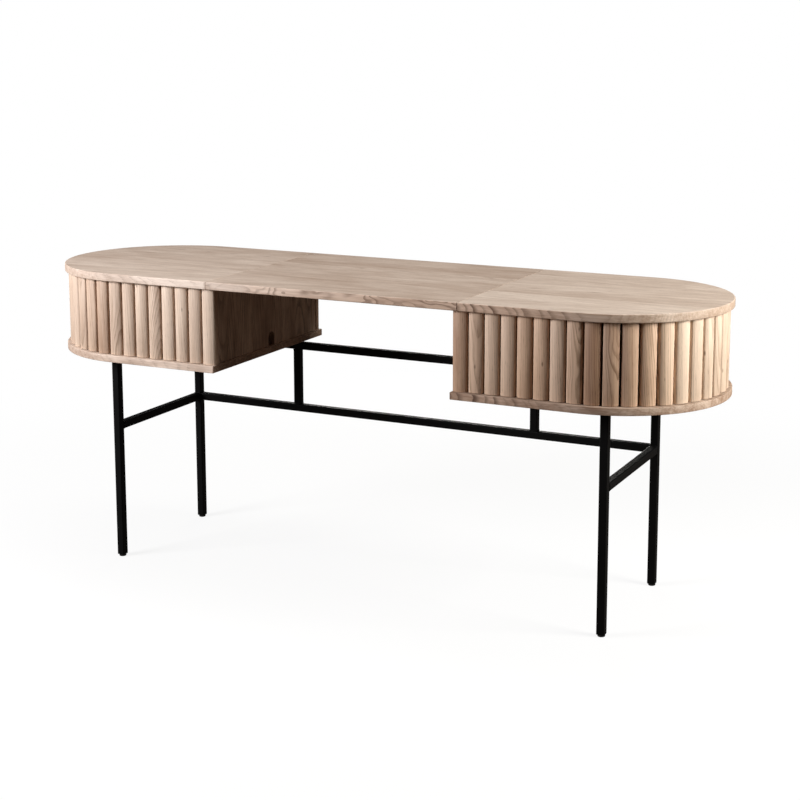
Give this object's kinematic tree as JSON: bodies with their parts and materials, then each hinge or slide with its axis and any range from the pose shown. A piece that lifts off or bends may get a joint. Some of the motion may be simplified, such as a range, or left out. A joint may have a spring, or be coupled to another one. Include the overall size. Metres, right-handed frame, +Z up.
{
  "type": "tambour desk",
  "caption": "Round-ended writing desk with a thin wooden top, curved pedestals closed by sliding tambour doors, and a slim black square-tube frame.",
  "frame": {"origin": "centre of the desk's footprint, on the floor", "axes": "+X along the desk to the sitter's right, +Y to the back, +Z up; the sitter is at -Y"},
  "size_m": [1.8, 0.55, 0.77],
  "materials": {
    "ash_top": "matte washed ash",
    "ash_slats": "matte washed ash, varied slat by slat",
    "ash_carcass": "matte washed ash",
    "beech_dowel": "raw",
    "door_cloth": "dark plain woven backing cloth",
    "black_steel": "satin powder coat",
    "black_plastic": "matte",
    "zinc_steel": "zinc plated"
  },
  "bodies": {
    "desk": {"back_stretcher": "black_steel", "foot_glides": "black_plastic", "left_back_leg": "black_steel", "left_back_panel": "ash_carcass", "left_back_stile": "ash_slats", "left_base_board": "ash_carcass", "left_end_support": "ash_carcass", "left_front_leg": "black_steel", "left_front_stile": "ash_slats", "left_inner_panel": "ash_carcass", "left_rail_post": "black_steel", "left_side_stretcher": "black_steel", "left_top_board": "ash_top", "middle_top_board": "ash_top", "mounting_plates": "black_steel", "panel_screws": "zinc_steel", "plate_screws": "zinc_steel", "right_back_leg": "black_steel", "right_back_panel": "ash_carcass", "right_back_stile": "ash_slats", "right_base_board": "ash_carcass", "right_end_support": "ash_carcass", "right_front_leg": "black_steel", "right_front_stile": "ash_slats", "right_inner_panel": "ash_carcass", "right_rail_post": "black_steel", "right_side_stretcher": "black_steel", "right_top_board": "ash_top", "top_dowels": "beech_dowel", "upper_back_rail": "black_steel"},
    "left_door_ends": {"left_end_slats": "ash_slats", "left_door_canvas": "door_cloth"},
    "left_door_lead": {"left_lead_slat": "ash_slats"},
    "left_door_02": {"left_slat_02": "ash_slats"},
    "left_door_03": {"left_slat_03": "ash_slats"},
    "left_door_04": {"left_slat_04": "ash_slats"},
    "left_door_05": {"left_slat_05": "ash_slats"},
    "left_door_06": {"left_slat_06": "ash_slats"},
    "left_door_07": {"left_slat_07": "ash_slats"},
    "left_door_21": {"left_slat_21": "ash_slats"},
    "left_door_22": {"left_slat_22": "ash_slats"},
    "left_door_23": {"left_slat_23": "ash_slats"},
    "left_door_24": {"left_slat_24": "ash_slats"},
    "left_door_25": {"left_slat_25": "ash_slats"},
    "left_door_26": {"left_slat_26": "ash_slats"},
    "right_door_ends": {"right_end_slats": "ash_slats", "right_door_canvas": "door_cloth"},
    "right_door_lead": {"right_lead_slat": "ash_slats"},
    "right_door_02": {"right_slat_02": "ash_slats"},
    "right_door_03": {"right_slat_03": "ash_slats"},
    "right_door_04": {"right_slat_04": "ash_slats"},
    "right_door_05": {"right_slat_05": "ash_slats"},
    "right_door_06": {"right_slat_06": "ash_slats"},
    "right_door_07": {"right_slat_07": "ash_slats"},
    "right_door_21": {"right_slat_21": "ash_slats"},
    "right_door_22": {"right_slat_22": "ash_slats"},
    "right_door_23": {"right_slat_23": "ash_slats"},
    "right_door_24": {"right_slat_24": "ash_slats"},
    "right_door_25": {"right_slat_25": "ash_slats"},
    "right_door_26": {"right_slat_26": "ash_slats"}
  },
  "joints": [
    {"name": "left_door", "type": "hinge", "parent": "desk", "child": "left_door_ends", "pos_m": [-0.625, 0, 0.655], "axis": [0, 0, -1], "range_deg": [0, 56.6]},
    {"name": "left_lead_run", "type": "slide", "parent": "desk", "child": "left_door_lead", "axis": [-1, 0, 0], "range_m": [0, 0.2432]},
    {"name": "left_run_02", "type": "hinge", "parent": "desk", "child": "left_door_02", "pos_m": [-0.5219, 1.37583, 0.655], "axis": [0, 0, -1], "range_deg": [0, 8.59]},
    {"name": "left_run_03", "type": "hinge", "parent": "desk", "child": "left_door_03", "pos_m": [-0.54175, 0.53109, 0.655], "axis": [0, 0, -1], "range_deg": [0, 17.84]},
    {"name": "left_run_04", "type": "hinge", "parent": "desk", "child": "left_door_04", "pos_m": [-0.5616, 0.26343, 0.655], "axis": [0, 0, -1], "range_deg": [0, 27.08]},
    {"name": "left_run_05", "type": "hinge", "parent": "desk", "child": "left_door_05", "pos_m": [-0.58145, 0.13281, 0.655], "axis": [0, 0, -1], "range_deg": [0, 36.33]},
    {"name": "left_run_06", "type": "hinge", "parent": "desk", "child": "left_door_06", "pos_m": [-0.6013, 0.05644, 0.655], "axis": [0, 0, -1], "range_deg": [0, 45.58]},
    {"name": "left_run_07", "type": "hinge", "parent": "desk", "child": "left_door_07", "pos_m": [-0.62115, 0.00743, 0.655], "axis": [0, 0, -1], "range_deg": [0, 54.82]},
    {"name": "left_run_21", "type": "hinge", "parent": "desk", "child": "left_door_21", "pos_m": [-0.61587, -0.01859, 0.655], "axis": [0, 0, -1], "range_deg": [0, 52.36]},
    {"name": "left_run_22", "type": "hinge", "parent": "desk", "child": "left_door_22", "pos_m": [-0.59602, -0.0734, 0.655], "axis": [0, 0, -1], "range_deg": [0, 43.12]},
    {"name": "left_run_23", "type": "hinge", "parent": "desk", "child": "left_door_23", "pos_m": [-0.57617, -0.16048, 0.655], "axis": [0, 0, -1], "range_deg": [0, 33.87]},
    {"name": "left_run_24", "type": "hinge", "parent": "desk", "child": "left_door_24", "pos_m": [-0.55632, -0.31498, 0.655], "axis": [0, 0, -1], "range_deg": [0, 24.62]},
    {"name": "left_run_25", "type": "hinge", "parent": "desk", "child": "left_door_25", "pos_m": [-0.53647, -0.6567, 0.655], "axis": [0, 0, -1], "range_deg": [0, 15.38]},
    {"name": "left_run_26", "type": "hinge", "parent": "desk", "child": "left_door_26", "pos_m": [-0.51662, -2.03091, 0.655], "axis": [0, 0, -1], "range_deg": [0, 6.13]},
    {"name": "right_door", "type": "hinge", "parent": "desk", "child": "right_door_ends", "pos_m": [0.625, 0, 0.655], "axis": [0, 0, 1], "range_deg": [0, 56.6]},
    {"name": "right_lead_run", "type": "slide", "parent": "desk", "child": "right_door_lead", "axis": [1, 0, 0], "range_m": [0, 0.2432]},
    {"name": "right_run_02", "type": "hinge", "parent": "desk", "child": "right_door_02", "pos_m": [0.5219, 1.37583, 0.655], "axis": [0, 0, 1], "range_deg": [0, 8.59]},
    {"name": "right_run_03", "type": "hinge", "parent": "desk", "child": "right_door_03", "pos_m": [0.54175, 0.53109, 0.655], "axis": [0, 0, 1], "range_deg": [0, 17.84]},
    {"name": "right_run_04", "type": "hinge", "parent": "desk", "child": "right_door_04", "pos_m": [0.5616, 0.26343, 0.655], "axis": [0, 0, 1], "range_deg": [0, 27.08]},
    {"name": "right_run_05", "type": "hinge", "parent": "desk", "child": "right_door_05", "pos_m": [0.58145, 0.13281, 0.655], "axis": [0, 0, 1], "range_deg": [0, 36.33]},
    {"name": "right_run_06", "type": "hinge", "parent": "desk", "child": "right_door_06", "pos_m": [0.6013, 0.05644, 0.655], "axis": [0, 0, 1], "range_deg": [0, 45.58]},
    {"name": "right_run_07", "type": "hinge", "parent": "desk", "child": "right_door_07", "pos_m": [0.62115, 0.00743, 0.655], "axis": [0, 0, 1], "range_deg": [0, 54.82]},
    {"name": "right_run_21", "type": "hinge", "parent": "desk", "child": "right_door_21", "pos_m": [0.61587, -0.01859, 0.655], "axis": [0, 0, 1], "range_deg": [0, 52.36]},
    {"name": "right_run_22", "type": "hinge", "parent": "desk", "child": "right_door_22", "pos_m": [0.59602, -0.0734, 0.655], "axis": [0, 0, 1], "range_deg": [0, 43.12]},
    {"name": "right_run_23", "type": "hinge", "parent": "desk", "child": "right_door_23", "pos_m": [0.57617, -0.16048, 0.655], "axis": [0, 0, 1], "range_deg": [0, 33.87]},
    {"name": "right_run_24", "type": "hinge", "parent": "desk", "child": "right_door_24", "pos_m": [0.55632, -0.31498, 0.655], "axis": [0, 0, 1], "range_deg": [0, 24.62]},
    {"name": "right_run_25", "type": "hinge", "parent": "desk", "child": "right_door_25", "pos_m": [0.53647, -0.6567, 0.655], "axis": [0, 0, 1], "range_deg": [0, 15.38]},
    {"name": "right_run_26", "type": "hinge", "parent": "desk", "child": "right_door_26", "pos_m": [0.51662, -2.03091, 0.655], "axis": [0, 0, 1], "range_deg": [0, 6.13]}
  ],
  "couplings": [
    {"joint": "left_lead_run", "follows": "left_door", "m_per_rad": 0.246},
    {"joint": "left_run_02", "follows": "left_door", "ratio": 0.15144},
    {"joint": "left_run_03", "follows": "left_door", "ratio": 0.31481},
    {"joint": "left_run_04", "follows": "left_door", "ratio": 0.47819},
    {"joint": "left_run_05", "follows": "left_door", "ratio": 0.64156},
    {"joint": "left_run_06", "follows": "left_door", "ratio": 0.80494},
    {"joint": "left_run_07", "follows": "left_door", "ratio": 0.96831},
    {"joint": "left_run_21", "follows": "left_door", "ratio": 0.92482},
    {"joint": "left_run_22", "follows": "left_door", "ratio": 0.76145},
    {"joint": "left_run_23", "follows": "left_door", "ratio": 0.59807},
    {"joint": "left_run_24", "follows": "left_door", "ratio": 0.4347},
    {"joint": "left_run_25", "follows": "left_door", "ratio": 0.27132},
    {"joint": "left_run_26", "follows": "left_door", "ratio": 0.10795},
    {"joint": "right_lead_run", "follows": "right_door", "m_per_rad": 0.246},
    {"joint": "right_run_02", "follows": "right_door", "ratio": 0.15144},
    {"joint": "right_run_03", "follows": "right_door", "ratio": 0.31481},
    {"joint": "right_run_04", "follows": "right_door", "ratio": 0.47819},
    {"joint": "right_run_05", "follows": "right_door", "ratio": 0.64156},
    {"joint": "right_run_06", "follows": "right_door", "ratio": 0.80494},
    {"joint": "right_run_07", "follows": "right_door", "ratio": 0.96831},
    {"joint": "right_run_21", "follows": "right_door", "ratio": 0.92482},
    {"joint": "right_run_22", "follows": "right_door", "ratio": 0.76145},
    {"joint": "right_run_23", "follows": "right_door", "ratio": 0.59807},
    {"joint": "right_run_24", "follows": "right_door", "ratio": 0.4347},
    {"joint": "right_run_25", "follows": "right_door", "ratio": 0.27132},
    {"joint": "right_run_26", "follows": "right_door", "ratio": 0.10795}
  ]
}
